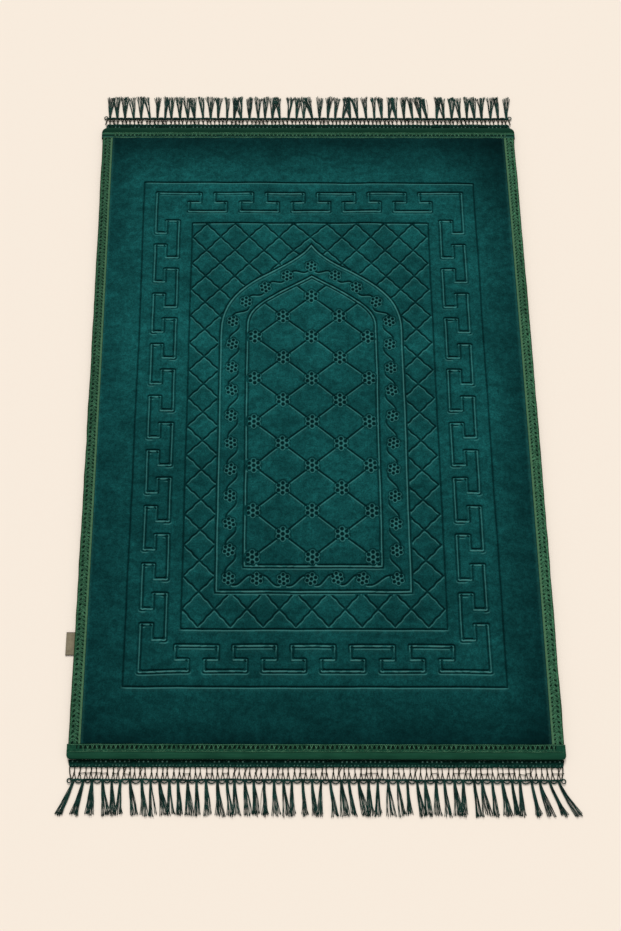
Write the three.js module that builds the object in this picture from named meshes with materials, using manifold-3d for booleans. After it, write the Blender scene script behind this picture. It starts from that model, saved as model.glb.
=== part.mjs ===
// A padded velvet prayer rug, lying flat: a foam-filled pad with a pressed pattern, tape
// bindings on its four edges, a trim of heading, net, cord and tassels on each short end,
// and a small blank tab on one long edge. Millimetres, +Z up, far (arch) end at +Y.
import * as THREE from "three";
import { mergeVertices } from "three/addons/utils/BufferGeometryUtils.js";
import Module from "manifold-3d";

const wasm = await Module();
wasm.setup();

// ---- driving dimensions ----
const WIDTH = 800; // over the side bindings
const BOUND = 1176; // over the end bindings
const GAP = 0.3; // between pieces that touch
const LAP = 1; // how far fused parts of one piece reach into each other

// The pad and its pinched rim, which the tapes fold over.
const PAD_TOP = 9;
const EDGE_TOP = 7; // top of a folded tape
const SHOULDER = 10; // width over which the velvet rolls down to the tape
const TAPE = 1; // thickness of a tape
const FOLD = 2.5; // outer radius of a tape's fold
const CORNER = 8; // plan radius of an end binding's corners
const SIDE_TAPE = 20;
const END_TAPE = 24;
const BULGE = 2; // an end binding stands this far past the side ones

// Pressed lines: a V section of this width and depth.
const LINE = { width: 3.2, depth: 1.6, above: 0.4 };
const CROSSING_DEPTH = 1.5; // of the lines that cross others, a little shallower
const CLEAR = 2.4; // a line that ends beside another one stops this far from its middle
const PATTERN_MID = -4; // the pattern's middle lies a little nearer the near end
const OUTER_FRAME = { half: 314, tall: 470 };
const INNER_FRAME = { half: 222.5, tall: 380.5 };
const KEY = { half: 292.5, tall: 448, deep: 47.5, double: 5.7, gap: 0.255, reach: 0.39 };
const KEY_ACROSS = { gaps: 5, pitch: 98.2 };
const KEY_ALONG = { gaps: 8, pitch: 100.3 };
const LATTICE = { half: 217.5, tall: 377, middle: -1, across: 8, along: 14 };
const ARCH_RIDGE = 4.6; // between the two lines of an arch outline

// Arch outlines from the mat's middle: a straight side up to the springing, then
// Bezier pieces to the apex, each row one piece with its two handles and its end.
const OUTER_ARCH = {
  half: 165.5,
  bottom: -318,
  spring: 162,
  pieces: [
    { ax: 165.5, ay: 205, bx: 140, by: 237, x: 98, y: 261, steps: 6 },
    { ax: 60, ay: 283, bx: 22, by: 302, x: 0, y: 334, steps: 5 },
  ],
};
const INNER_ARCH = {
  half: 116.5,
  bottom: -274.5,
  spring: 168,
  pieces: [
    { ax: 116.5, ay: 192, bx: 98, by: 208, x: 76, y: 222, steps: 5 },
    { ax: 50, ay: 238, bx: 26, by: 253, x: 0, y: 268.5, steps: 1 },
  ],
};

// Flowers of the field, on a diagonal lattice, and of the band between the arches.
const FIELD = { halfX: 51.2, halfY: 40.6, topY: 228.3, rows: 13 };
const FIELD_FLOWER = { tip: 12.4, notch: 9, depth: 1.6 };
const BAND_FLOWER = { tip: 10.6, notch: 7.7, depth: 1.6 };
const BAND_SIDE = { x: 143, topY: 177, bottomY: -296.5, steps: 10 };
const BAND_ARCH = [
  { x: 119.5, y: 214 },
  { x: 83.5, y: 244 },
  { x: 44, y: 268 },
  { x: 0, y: 289 },
];
const VINE = { swing: 9, steps: 3 };

// End trims, outward from an end binding.
const HEADING = { half: 397, taper: 1.5, deep: 12.5, top: 3 };
const NET = { half: 394, thread: 1.4, top: 1.4 };
const CORD = { half: 395, deep: 7, top: 3.2 };
const TASSEL = { count: 52, span: 776, uneven: 2, step: 1.7 };
const WANDER = [
  { by: 2.4, step: 2.1, start: 0.7 },
  { by: 2, step: 0.9, start: 0.5 },
];
const LOCK = { root: 2.6, tip: 3.6, rootTop: 2.4, tipTop: 1.5, apart: 3.2, spread: 5.4 };
const NEAR_TRIM = { end: -1, net: 17, rows: 2, cornerSplay: 26, splayed: 3, length: 50 };
const FAR_TRIM = { end: 1, net: 10, rows: 1, cornerSplay: 3, splayed: 2, length: 47 };

// Blank tab sewn into the left binding.
const TAB = { y: -402, tall: 38, out: 14, thick: 1.2, fold: 0.5 };

const DYES = {
  velvet: { color: 0x125052, roughness: 0.95 },
  tape: { color: 0x265237, roughness: 0.85 },
  trim: { color: 0x0b3430, roughness: 0.9 },
  tab: { color: 0x91826e, roughness: 0.85 },
};

// ---- helpers ----
function solidOf(geometry) {
  const bare = geometry.clone();
  bare.deleteAttribute("normal");
  bare.deleteAttribute("uv");
  const merged = mergeVertices(bare, 1e-4);
  return new wasm.Manifold(
    new wasm.Mesh({
      numProp: 3,
      vertProperties: merged.attributes.position.array,
      triVerts: new Uint32Array(merged.index.array),
    }),
  );
}

function meshOf(name, solid, dye) {
  const made = solid.getMesh();
  const geometry = new THREE.BufferGeometry();
  geometry.setAttribute("position", new THREE.BufferAttribute(made.vertProperties, 3));
  geometry.setIndex(new THREE.BufferAttribute(made.triVerts, 1));
  geometry.computeVertexNormals();
  const material = new THREE.MeshStandardMaterial({ ...dye, metalness: 0 });
  const mesh = new THREE.Mesh(geometry, material);
  mesh.name = name;
  return mesh;
}

const joined = (solids) => solids.reduce((all, one) => all.add(one));

function outline(points) {
  return new THREE.Shape(points.map(([x, y]) => new THREE.Vector2(x, y)));
}

function rectangle(x0, y0, x1, y1) {
  return outline([[x0, y0], [x1, y0], [x1, y1], [x0, y1]]);
}

function roundedRectangle(halfX, halfY, radius) {
  const shape = new THREE.Shape();
  shape.moveTo(radius - halfX, -halfY);
  shape.lineTo(halfX - radius, -halfY);
  shape.quadraticCurveTo(halfX, -halfY, halfX, radius - halfY);
  shape.lineTo(halfX, halfY - radius);
  shape.quadraticCurveTo(halfX, halfY, halfX - radius, halfY);
  shape.lineTo(radius - halfX, halfY);
  shape.quadraticCurveTo(-halfX, halfY, -halfX, halfY - radius);
  shape.lineTo(-halfX, radius - halfY);
  shape.quadraticCurveTo(-halfX, -halfY, radius - halfX, -halfY);
  return shape;
}

// A rectangle with two of its corners rounded, at its outer end.
function endOutline(half, inner, outer, radius) {
  const sign = Math.sign(outer - inner);
  const shape = new THREE.Shape();
  shape.moveTo(-half, inner);
  shape.lineTo(half, inner);
  shape.lineTo(half, outer - sign * radius);
  shape.quadraticCurveTo(half, outer, half - radius, outer);
  shape.lineTo(radius - half, outer);
  shape.quadraticCurveTo(-half, outer, -half, outer - sign * radius);
  return shape;
}

// A flat solid between two heights, with its edges rounded if a radius is given.
function slab(shape, bottom, top, radius = 0) {
  const geometry = new THREE.ExtrudeGeometry(shape, {
    depth: top - bottom - 2 * radius,
    bevelEnabled: radius > 0,
    bevelThickness: radius,
    bevelSize: radius,
    bevelOffset: -radius,
    bevelSegments: 2,
    curveSegments: 3,
  });
  geometry.translate(0, 0, bottom + radius);
  return solidOf(geometry);
}

// On a fine binary grid, so that the walls of a straight line are exactly flat.
const snapped = (value) => Math.round(value * 64) / 64;

// Unit normals to the left of a line at its points, lengthened where it turns.
function mitres(points, closed) {
  const count = points.length;
  const direction = (a, b) => new THREE.Vector2(b[0] - a[0], b[1] - a[1]).normalize();
  return points.map((point, i) => {
    const before = closed || i > 0 ? points[(i + count - 1) % count] : null;
    const after = closed || i < count - 1 ? points[(i + 1) % count] : null;
    const arriving = before ? direction(before, point) : direction(point, after);
    const leaving = after ? direction(point, after) : arriving;
    const across = new THREE.Vector2(-arriving.y - leaving.y, arriving.x + leaving.x);
    const normal = across.normalize();
    const turn = normal.x * -arriving.y + normal.y * arriving.x;
    return normal.divideScalar(turn);
  });
}

function offset(points, distance, closed) {
  const normals = mitres(points, closed);
  return points.map(([x, y], i) => [
    x + normals[i].x * distance,
    y + normals[i].y * distance,
  ]);
}

// An open line with a length taken off each of its ends.
function shortened(points, cut) {
  const trimmed = (from, towards) => {
    const length = Math.hypot(towards[0] - from[0], towards[1] - from[1]);
    return from.map((value, i) => value + ((towards[i] - value) * cut) / length);
  };
  const last = points.length - 1;
  const ends = [trimmed(points[0], points[1]), trimmed(points[last], points[last - 1])];
  return [ends[0], ...points.slice(1, -1), ends[1]];
}

// The cutter for one pressed line: a V swept along it, open above the velvet.
function pressedLine(points, closed = false, depth = LINE.depth) {
  const normals = mitres(points, closed);
  const slope = LINE.width / 2 / LINE.depth;
  const half = slope * (depth + LINE.above);
  const top = snapped(PAD_TOP + LINE.above);
  const bottom = snapped(PAD_TOP - depth);
  const vertices = points.flatMap((point, i) => {
    const [x, y] = point.map(snapped);
    const [dx, dy] = normals[i].toArray().map((n) => snapped(n * half));
    return [x + dx, y + dy, top, x, y, bottom, x - dx, y - dy, top];
  });
  const faces = [];
  const spans = closed ? points.length : points.length - 1;
  for (let i = 0; i < spans; i += 1) {
    const a = 3 * i;
    const b = 3 * ((i + 1) % points.length);
    for (let side = 0; side < 3; side += 1) {
      const next = (side + 1) % 3;
      faces.push(a + side, b + next, a + next, a + side, b + side, b + next);
    }
  }
  if (!closed) {
    const last = vertices.length / 3 - 3;
    faces.push(0, 1, 2, last, last + 2, last + 1);
  }
  const geometry = new THREE.BufferGeometry();
  geometry.setAttribute("position", new THREE.Float32BufferAttribute(vertices, 3));
  geometry.setIndex(faces);
  return solidOf(geometry);
}

// ---- the pressed pattern ----
function frameLine({ half, tall }) {
  const low = PATTERN_MID - tall;
  const high = PATTERN_MID + tall;
  return pressedLine([[-half, low], [half, low], [half, high], [-half, high]], true);
}

// The key border runs round four sides. Along a side s is counted from its middle and d
// inward from its outer line.
function keySides() {
  const across = { reach: KEY.half, ...KEY_ACROSS };
  const along = { reach: KEY.tall, ...KEY_ALONG };
  return [
    { ...across, at: (s, d) => [s, PATTERN_MID - KEY.tall + d] },
    { ...along, at: (s, d) => [KEY.half - d, PATTERN_MID + s] },
    { ...across, at: (s, d) => [-s, PATTERN_MID + KEY.tall - d] },
    { ...along, at: (s, d) => [d - KEY.half, PATTERN_MID - s] },
  ];
}

function keyBorder() {
  const path = [];
  const second = [];
  const middle = KEY.deep / 2;
  const innerSecond = KEY.deep - KEY.double;
  const sides = keySides();
  sides.forEach(({ reach, gaps, pitch, at }, index) => {
    const next = sides[(index + 1) % sides.length];
    const half = (KEY.gap * pitch) / 2;
    const long = KEY.reach * pitch;
    path.push(at(-reach, 0));
    for (let k = 0; k < gaps; k += 1) {
      const c = (k - (gaps - 1) / 2) * pitch;
      path.push(at(c - half, 0), at(c - half, middle), at(c - long, middle));
      path.push(at(c - long, KEY.deep), at(c + long, KEY.deep));
      path.push(at(c + long, middle), at(c + half, middle), at(c + half, 0));
      second.push([at(c - long, innerSecond), at(c + long, innerSecond)]);
      if (k < gaps - 1) {
        second.push([at(c + half, KEY.double), at(c + pitch - half, KEY.double)]);
        continue;
      }
      const nextStart = (-(next.gaps - 1) / 2) * next.pitch - (KEY.gap * next.pitch) / 2;
      second.push([
        at(c + half, KEY.double),
        at(reach - KEY.double, KEY.double),
        next.at(nextStart, KEY.double),
      ]);
    }
  });
  const short = second.map((line) => pressedLine(shortened(line, CLEAR)));
  return joined([pressedLine(path, true), ...short]);
}

function archLine({ half, bottom, spring, pieces }) {
  const right = [[half, bottom], [half, spring]];
  for (const { ax, ay, bx, by, x, y, steps } of pieces) {
    const [sx, sy] = right[right.length - 1];
    const curve = new THREE.CubicBezierCurve(
      new THREE.Vector2(sx, sy),
      new THREE.Vector2(ax, ay),
      new THREE.Vector2(bx, by),
      new THREE.Vector2(x, y),
    );
    right.push(...curve.getPoints(steps).slice(1).map((p) => [p.x, p.y]));
  }
  const left = right.slice(0, -1).reverse().map(([x, y]) => [-x, y]);
  return [...right, ...left];
}

function archOutline(line) {
  const lines = [offset(line, ARCH_RIDGE / 2, true), offset(line, -ARCH_RIDGE / 2, true)];
  return joined(lines.map((one) => pressedLine(one, true)));
}

const prismOf = (line) => slab(outline(line), 0, PAD_TOP + 2 * LINE.above);

// Diagonal lines from side to side of a field of diamonds.
function diagonals(left, low, stepX, stepY, across, along) {
  const cutters = [];
  for (let start = -2 * along + 1; start < 2 * across; start += 2) {
    const from = Math.max(0, -start);
    const to = Math.min(2 * along, 2 * across - start);
    const ends = [from, to].map((j) => [left + stepX * (start + j), low + stepY * j]);
    const rising = shortened(ends, CLEAR);
    const falling = rising.map(([x, y]) => [x, 2 * (low + stepY * along) - y]);
    cutters.push(pressedLine(rising), pressedLine(falling, false, CROSSING_DEPTH));
  }
  return joined(cutters);
}

function outerLattice(arch) {
  const { half, tall, middle, across, along } = LATTICE;
  const low = middle - tall;
  const lines = diagonals(-half, low, half / across, tall / along, across, along);
  return lines.subtract(prismOf(offset(arch, -ARCH_RIDGE / 2 - CLEAR, true)));
}

function fieldFlowerSpots() {
  const spots = [];
  for (let row = 0; row < FIELD.rows; row += 1) {
    const y = FIELD.topY - row * FIELD.halfY;
    const columns = row === 0 ? [0] : row % 2 ? [-1, 1] : [-2, 0, 2];
    spots.push(...columns.map((c) => ({ x: c * FIELD.halfX, y })));
  }
  return spots;
}

// Each flower's lines run down to the two flowers below it, and from the outer and the
// upper ones up to the arch.
function fieldLattice(arch) {
  const lines = [];
  const spots = fieldFlowerSpots();
  const isSpot = (x, y) => spots.some((s) => Math.hypot(s.x - x, s.y - y) < 1);
  for (const { x, y } of spots) {
    for (const side of [-1, 1]) {
      const below = [x + side * FIELD.halfX, y - FIELD.halfY];
      const above = [x + side * FIELD.halfX, y + FIELD.halfY];
      if (isSpot(...below)) lines.push([[x, y], below]);
      if (!isSpot(...above)) lines.push([[x, y], above]);
    }
  }
  const reach = FIELD_FLOWER.tip;
  const cutters = lines.map((line) => pressedLine(shortened(line, reach)));
  const inside = offset(arch, ARCH_RIDGE / 2 + CLEAR, true);
  return joined(cutters).intersect(prismOf(inside));
}

function bandSpots() {
  const pitchY = (BAND_SIDE.topY - BAND_SIDE.bottomY) / BAND_SIDE.steps;
  const right = [];
  for (let k = 0; k <= BAND_SIDE.steps; k += 1) {
    right.push({ x: BAND_SIDE.x, y: BAND_SIDE.bottomY + k * pitchY });
  }
  right.push(...BAND_ARCH);
  const left = right.slice(0, -1).reverse().map(({ x, y }) => ({ x: -x, y }));
  const bottom = [-2, -1, 0, 1, 2].map((k) => ({
    x: (k * BAND_SIDE.x) / 3,
    y: BAND_SIDE.bottomY,
  }));
  return { right, left, bottom, all: [...right, ...left, ...bottom] };
}

// A stem from one flower of the band to the next: half a wave to one side, half to the other.
function vineLink(from, to, side, tip) {
  const length = Math.hypot(to.x - from.x, to.y - from.y);
  const ux = (to.x - from.x) / length;
  const uy = (to.y - from.y) / length;
  const points = [];
  for (let i = 0; i <= VINE.steps; i += 1) {
    const t = i / VINE.steps;
    const s = tip + (length - tip * 2) * t;
    const swing = side * VINE.swing * Math.cos(Math.PI * t);
    points.push([from.x + ux * s - uy * swing, from.y + uy * s + ux * swing]);
  }
  return pressedLine(points);
}

function vines({ right, left, bottom }) {
  const links = [];
  const { tip } = BAND_FLOWER;
  const chain = (spots, side) => {
    for (let i = 0; i + 1 < spots.length; i += 1) {
      links.push(vineLink(spots[i], spots[i + 1], side, tip));
    }
  };
  chain(right, -1);
  chain([...left].reverse(), 1);
  const row = [left[left.length - 1], ...bottom, right[0]];
  row.slice(1).forEach((spot, i) => {
    links.push(vineLink(row[i], spot, i % 2 ? 1 : -1, tip));
  });
  return joined(links);
}

// A six-lobed rosette pressed in to a point at its middle.
function rosette({ tip, notch, depth }, { x, y }) {
  const petals = 6;
  const widened = 1 + LINE.above / depth;
  const geometry = new THREE.ConeGeometry(1, depth + LINE.above, 2 * petals, 1);
  geometry.rotateX(-Math.PI / 2);
  geometry.rotateZ(Math.PI / 2);
  const position = geometry.attributes.position;
  for (let i = 0; i < position.count; i += 1) {
    const px = position.getX(i);
    const py = position.getY(i);
    if (Math.hypot(px, py) < 0.5) continue;
    const lobe = Math.round((Math.atan2(py, px) / Math.PI) * petals - petals / 2);
    const radius = (lobe % 2 === 0 ? tip : notch) * widened;
    position.setX(i, px * radius);
    position.setY(i, py * radius);
  }
  geometry.translate(x, y, PAD_TOP + LINE.above - (depth + LINE.above) / 2);
  return solidOf(geometry);
}

// ---- the pieces ----
const edgeX = WIDTH / 2;
const edgeY = BOUND / 2;

function pad() {
  const rimX = edgeX - TAPE - GAP;
  const rimY = edgeY - TAPE - GAP;
  const rimRadius = FOLD - TAPE - GAP;
  const rimCorner = CORNER - TAPE - GAP;
  const rimOutline = roundedRectangle(rimX, rimY, rimCorner);
  const rim = slab(rimOutline, TAPE + GAP, EDGE_TOP - TAPE - GAP, rimRadius);
  const coreX = edgeX - SIDE_TAPE - GAP;
  const coreY = edgeY - END_TAPE - GAP;
  const rise = PAD_TOP - EDGE_TOP;
  const roll = new THREE.ExtrudeGeometry(rectangle(-coreX, -coreY, coreX, coreY), {
    depth: PAD_TOP,
    bevelThickness: rise,
    bevelSize: SHOULDER,
    bevelOffset: -SHOULDER,
    bevelSegments: 3,
  });
  roll.translate(0, 0, -rise);
  const floorBox = slab(rectangle(-edgeX, -edgeY, edgeX, edgeY), 0, 2 * PAD_TOP);
  const core = solidOf(roll).intersect(floorBox);
  const outerArch = archLine(OUTER_ARCH);
  const innerArch = archLine(INNER_ARCH);
  const band = bandSpots();
  const pressed = joined([
    frameLine(OUTER_FRAME),
    frameLine(INNER_FRAME),
    keyBorder(),
    outerLattice(outerArch),
    archOutline(outerArch),
    archOutline(innerArch),
    fieldLattice(innerArch),
    vines(band),
    ...fieldFlowerSpots().map((spot) => rosette(FIELD_FLOWER, spot)),
    ...band.all.map((spot) => rosette(BAND_FLOWER, spot)),
  ]);
  return rim.add(core).subtract(pressed);
}

// The section of a tape folded over a long edge, seen along the rug: out over the top,
// round the fold, back underneath and round inside.
function foldSection() {
  const inner = edgeX - SIDE_TAPE;
  const axis = edgeX - FOLD;
  const quarter = Math.PI / 2;
  const section = new THREE.Shape();
  section.moveTo(inner, EDGE_TOP - TAPE);
  section.lineTo(inner, EDGE_TOP);
  section.absarc(axis, EDGE_TOP - FOLD, FOLD, quarter, 0, true);
  section.absarc(axis, FOLD, FOLD, 0, -quarter, true);
  section.lineTo(inner, 0);
  section.lineTo(inner, TAPE);
  section.absarc(axis, FOLD, FOLD - TAPE, -quarter, 0, false);
  section.absarc(axis, EDGE_TOP - FOLD, FOLD - TAPE, 0, quarter, false);
  return section;
}

function sideBinding(side) {
  const long = BOUND - 2 * (END_TAPE + GAP);
  const geometry = new THREE.ExtrudeGeometry(foldSection(), {
    depth: long,
    bevelEnabled: false,
    curveSegments: 3,
  });
  geometry.rotateX(Math.PI / 2);
  geometry.translate(0, long / 2, 0);
  if (side < 0) geometry.rotateZ(Math.PI);
  return solidOf(geometry);
}

// A tape folded over a short end: a rounded bar with a pocket for the pad's rim.
function endBinding(end) {
  const outer = endOutline(edgeX + BULGE, end * (edgeY - END_TAPE), end * edgeY, CORNER);
  const pocketX = edgeX - TAPE;
  const pocketY = end * (edgeY - TAPE);
  const mouth = end * (edgeY - 2 * END_TAPE);
  const pocket = endOutline(pocketX, mouth, pocketY, CORNER - TAPE);
  const bar = slab(outer, 0, EDGE_TOP, FOLD);
  return bar.subtract(slab(pocket, TAPE, EDGE_TOP - TAPE, FOLD - TAPE));
}

function tab() {
  const x = -edgeX - GAP;
  const low = TAB.y - TAB.tall / 2;
  return slab(rectangle(x - TAB.out, low, x, low + TAB.tall), 0, TAB.thick, TAB.fold);
}

// How far a tassel's tip leans sideways: a little, unevenly, as combed by hand; the
// outermost ones splay towards the corners.
function leanOf(k, trim) {
  const fromEnd = Math.min(k, TASSEL.count - 1 - k);
  if (fromEnd < trim.splayed) {
    const outward = k < TASSEL.count / 2 ? -1 : 1;
    return outward * (1 - fromEnd / trim.splayed) * trim.cornerSplay;
  }
  const waves = WANDER.map(({ by, step, start }) => by * Math.sin(step * k + start));
  return waves.reduce((sum, wave) => sum + wave);
}

// One lock: three sides, level on the floor from its root to its tip. It starts as a
// three-sided cylinder along Z, whose section is one ridge over two floor edges.
function lock(x0, y0, x1, y1) {
  const length = Math.hypot(x1 - x0, y1 - y0);
  const angle = Math.atan2(y1 - y0, x1 - x0);
  const section = { halfWidth: Math.sin(Math.PI / 3), low: -0.5, tall: 1.5 };
  const geometry = new THREE.CylinderGeometry(1, 1, length, 3, 1);
  geometry.rotateX(Math.PI / 2);
  geometry.rotateZ(Math.PI);
  const position = geometry.attributes.position;
  for (let i = 0; i < position.count; i += 1) {
    const t = position.getZ(i) / length + 0.5;
    const half = THREE.MathUtils.lerp(LOCK.root, LOCK.tip, t) / 2;
    const top = THREE.MathUtils.lerp(LOCK.rootTop, LOCK.tipTop, t);
    const across = (position.getX(i) / section.halfWidth) * half;
    const high = ((position.getY(i) - section.low) / section.tall) * top;
    position.setXYZ(
      i,
      x0 + (x1 - x0) * t - Math.sin(angle) * across,
      y0 + (y1 - y0) * t + Math.cos(angle) * across,
      snapped(high),
    );
  }
  return solidOf(geometry);
}

function netHoles(trim, start) {
  const pitch = (2 * NET.half - NET.thread) / TASSEL.count;
  const wide = pitch - NET.thread;
  const tall = (trim.net - (trim.rows - 1) * NET.thread) / trim.rows;
  const holes = [];
  for (let row = 0; row < trim.rows; row += 1) {
    const near = start + row * (tall + NET.thread);
    for (let k = 0; k < TASSEL.count; k += 1) {
      const x = -NET.half + NET.thread + k * pitch;
      const hole = rectangle(x, trim.end * near, x + wide, trim.end * (near + tall));
      holes.push(slab(hole, -LAP, NET.top + LAP));
    }
  }
  return joined(holes);
}

function fringe(trim) {
  const { end } = trim;
  const headingStart = edgeY + GAP;
  const netStart = headingStart + HEADING.deep;
  const cordStart = netStart + trim.net;
  const cordEnd = cordStart + CORD.deep;
  const strip = (half, from, to) => rectangle(-half, end * from, half, end * to);
  const heading = outline([
    [-HEADING.half, end * headingStart],
    [HEADING.half, end * headingStart],
    [HEADING.half - HEADING.taper, end * netStart],
    [HEADING.taper - HEADING.half, end * netStart],
  ]);
  const net = slab(strip(NET.half, netStart - LAP, cordStart + LAP), 0, NET.top);
  const pieces = [
    net.subtract(netHoles(trim, netStart)),
    slab(heading, 0, HEADING.top),
    slab(strip(CORD.half, cordStart, cordEnd), 0, CORD.top),
  ];
  const pitch = TASSEL.span / (TASSEL.count - 1);
  for (let k = 0; k < TASSEL.count; k += 1) {
    const x = -TASSEL.span / 2 + k * pitch;
    const lean = leanOf(k, trim);
    const shorter = TASSEL.uneven * (1 + Math.sin(TASSEL.step * k));
    for (const side of [-0.5, 0.5]) {
      const rootX = x + side * LOCK.apart;
      const tipX = x + lean + side * LOCK.spread;
      const tipY = cordEnd + trim.length - shorter;
      pieces.push(lock(rootX, end * (cordEnd - LAP), tipX, end * tipY));
    }
  }
  return joined(pieces);
}

// ---- the rug ----
const rug = new THREE.Group();
rug.add(meshOf("pad", pad(), DYES.velvet));
rug.add(meshOf("binding_left", sideBinding(-1), DYES.tape));
rug.add(meshOf("binding_right", sideBinding(1), DYES.tape));
rug.add(meshOf("binding_near", endBinding(-1), DYES.tape));
rug.add(meshOf("binding_far", endBinding(1), DYES.tape));
rug.add(meshOf("fringe_near", fringe(NEAR_TRIM), DYES.trim));
rug.add(meshOf("fringe_far", fringe(FAR_TRIM), DYES.trim));
rug.add(meshOf("side_tab", tab(), DYES.tab));

// The origin lies on the floor under the middle of the whole rug.
const middle = new THREE.Box3().setFromObject(rug, true).getCenter(new THREE.Vector3());
rug.position.set(-middle.x, -middle.y, 0);

export default rug;
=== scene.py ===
"""The looks of a padded velvet prayer rug, lying flat on a pale floor.

Lengths are millimetres, measured from the middle of the bound mat on the floor: +X to the
right, +Y towards the arch's point, +Z up. They become metres in the part's frame when a
mesh is made. The materials' own numbers are metres from the same middle.
"""

from math import atan2, ceil, cos, floor, pi, radians, sin, sqrt

import bpy
import numpy as np
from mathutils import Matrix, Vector, geometry, kdtree


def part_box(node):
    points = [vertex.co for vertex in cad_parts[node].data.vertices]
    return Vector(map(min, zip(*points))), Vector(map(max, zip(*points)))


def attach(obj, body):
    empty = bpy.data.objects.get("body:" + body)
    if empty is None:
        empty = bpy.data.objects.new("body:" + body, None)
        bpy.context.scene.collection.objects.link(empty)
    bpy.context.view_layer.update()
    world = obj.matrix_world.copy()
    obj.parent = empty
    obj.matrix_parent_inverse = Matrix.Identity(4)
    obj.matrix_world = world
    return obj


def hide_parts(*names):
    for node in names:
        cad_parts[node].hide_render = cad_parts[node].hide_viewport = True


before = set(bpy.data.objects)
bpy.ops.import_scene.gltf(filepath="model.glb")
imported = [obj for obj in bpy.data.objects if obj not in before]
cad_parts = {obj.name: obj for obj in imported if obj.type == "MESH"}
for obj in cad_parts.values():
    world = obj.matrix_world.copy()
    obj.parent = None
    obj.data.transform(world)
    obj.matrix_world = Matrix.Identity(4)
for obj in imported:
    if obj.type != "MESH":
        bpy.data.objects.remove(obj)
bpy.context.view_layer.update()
RNG = np.random.default_rng(11)
MM = 0.001
TURN = 2 * pi
PAD_LOW, PAD_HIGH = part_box("pad")
MID_X = (PAD_LOW.x + PAD_HIGH.x) / 2
MID_Y = (PAD_LOW.y + PAD_HIGH.y) / 2

# ------------------------ sizes
HALF_WIDTH = 400.0
HALF_LENGTH = 588.0
SIDE_TAPE = 20.0
END_TAPE = 24.0
TAPE_TOP = 7.0
TAPE_THICK = 1.0
FOLD_RADIUS = 2.5
PADDED = 12.2  # width of an end tape's padded roll, from the fold to the stitched band
PAD_TOP = 9.0
ROLL = 26.0  # width over which the velvet rolls down to the tapes
GAP = 0.3  # between neighbouring solids
CORE_X = HALF_WIDTH - SIDE_TAPE - GAP  # the velvet that the tapes leave open
CORE_Y = HALF_LENGTH - END_TAPE - GAP
HEM_HEIGHT = 1.35  # the velvet's edge inside the tapes
BOW = 1.4  # how far to the right the long sides lie at their middle

GROOVE_HALF = 2.1
GROOVE_DEPTH = 1.7
LINE_STEP = 6.0
DOUBLE = 2.6  # each line of a double one lies this far from the ridge between them
FLOWER_ROOM = 7.0  # points beside the lines keep this far from a petal's middle
OUTER_FRAME = [(-315.3, -474.3), (314.5, -474.3), (313.0, 461.8), (-314.1, 465.0), (-312.2, 150.0)]
INNER_FRAME = (-221.7, -381.0, 222.4, 377.2)
KEY_SHORT = dict(gaps=5, pitch=97.1, half=13.3, long=35.5)
KEY_LONG = dict(gaps=8, pitch=100.5, half=12.6, long=38.1)
KEY_MID = -9.2
LATTICE_WIDE, LATTICE_LONG = 16, 28  # half-steps across and along
LATTICE_STEP = 27.45
LATTICE_ROWS = [-376.5, -318.5, 320.0, 375.5]
OUTER_ARCH = dict(
    half=164.1, bottom=-318.7, spring=158.0,
    curves=[((164.1, 203), (139, 235), (98, 261)), ((60, 283), (22, 299), (0, 330))],
)
INNER_ARCH = dict(
    half=116.6, bottom=-275.6, spring=168.0,
    curves=[((116.6, 192), (98, 208), (76, 222)), ((50, 238), (26, 251), (0, 266))],
)
FIELD = dict(half_x=51.2, half_y=40.5, top=226.2, rows=13)
FIELD_FLOWER = dict(petal=8.8, size=1.0, turn=3.0)
BAND_FLOWER = dict(petal=7.7, size=0.87, turn=12.0)
BAND_X = 143.0
BAND_SIDE_Y = (-296.5, -248, -202, -153, -105, -57, -6, 42, 85, 131, 176)
BAND_ARCH = [(119.5, 215), (84, 244), (44.5, 267.5), (0, 287)]
BAND_ROW = [
    (-143, -296.5), (-95, -297), (-49.5, -297.5), (-2, -297), (41, -295), (84.5, -296.5),
    (143, -296.5),
]
BAND_ROW_SIDES = (-1, 1, -1, -1, -1, -1)

SIDE_ROWS = (5.7, 13.3)  # the stitch rows, inward from the fold
SIDE_PITCHES = (8.2, 6.5)
END_ROW = 19.2
END_PITCH = 7.5
CROSS_PITCH = 4.1  # of the crossed stitches between the side rows
TAB_LOW, TAB_HIGH = [(v - Vector((MID_X, MID_Y, 0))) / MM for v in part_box("side_tab")]
TAB_SHIFT = -2.7  # the tab lies a little nearer than its solid
TAB_NEAR, TAB_FAR = TAB_LOW.y + TAB_SHIFT, TAB_HIGH.y + TAB_SHIFT
TRIM_COUNT = 52
ROOT_SPAN = 776.0
NET_HALF = 388.0
CORD_HALF = 394.0
HEADING_START = HALF_LENGTH + GAP
LOOP_PITCH = 3.8  # of the knitted loops, the tapes' edge lines and the cord's half-turns
NEAR = dict(end="near", sign=-1, heading=12.0, net=17.0, knot=0.52, threads=88, thread=0.80,
            loop=4.7, length=48.5, splay=26.0, splayed=3, drift=5.0, stray=3.5, fan=1.1, wide=399,
            corner=8.0)
FAR = dict(end="far", sign=1, heading=10.0, net=10.8, knot=0.5, threads=98, thread=0.85,
           loop=2.2, length=44.5, splay=4.0, splayed=2, drift=-1.0, stray=6.0, fan=1.2, wide=395,
           corner=13.0)


# ------------------------ numbers
def jitter(reach, shape=None):
    return RNG.uniform(-reach, reach, shape)


def lengths(vectors):
    return np.linalg.norm(vectors, axis=1)


def unit(vectors):
    return vectors / np.maximum(lengths(vectors), 1e-9)[:, None]


def left_of(vectors):
    return np.stack([-vectors[:, 1], vectors[:, 0]], axis=1)


def circle(angles):
    return np.stack([np.cos(angles), np.sin(angles)], axis=1)


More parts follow.
